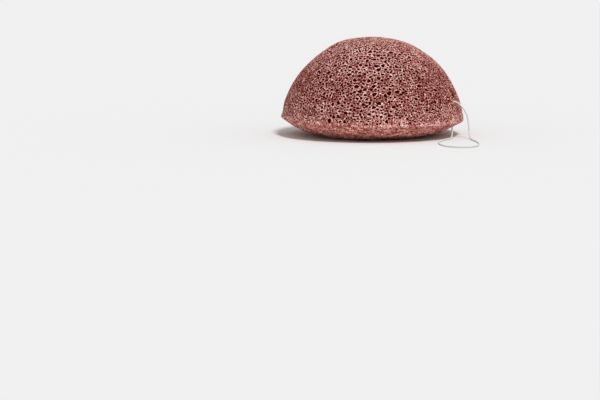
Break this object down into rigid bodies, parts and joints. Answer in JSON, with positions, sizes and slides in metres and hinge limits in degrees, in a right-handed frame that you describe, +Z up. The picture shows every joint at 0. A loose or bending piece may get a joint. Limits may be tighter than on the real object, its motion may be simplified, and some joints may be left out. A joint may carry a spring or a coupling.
{
  "type": "konjac sponge",
  "caption": "Half-ball konjac face sponge in porous dusty red foam, with a tied cotton string loop threaded through its edge for hanging it up to dry.",
  "frame": {"origin": "under the middle of the sponge, on the surface that its flat spot stands on", "axes": "+Z up along the dome's axis, +X to the side where the string is threaded, -Y to the front"},
  "size_m": [0.083, 0.0926, 0.0418],
  "materials": {
    "sponge_foam": "matte",
    "cotton_string": "matte"
  },
  "bodies": {
    "sponge": {"sponge_body": "sponge_foam"},
    "hanging_loop": {"string_loop": "cotton_string", "string_threaded": "cotton_string", "string_knot": "cotton_string"}
  },
  "joints": [
    {"name": "loop_swing", "type": "hinge", "parent": "sponge", "child": "hanging_loop", "pos_m": [0.03346, -0.01532, 0.0114], "axis": [0, 0, 1], "range_deg": [-40, 40]}
  ]
}
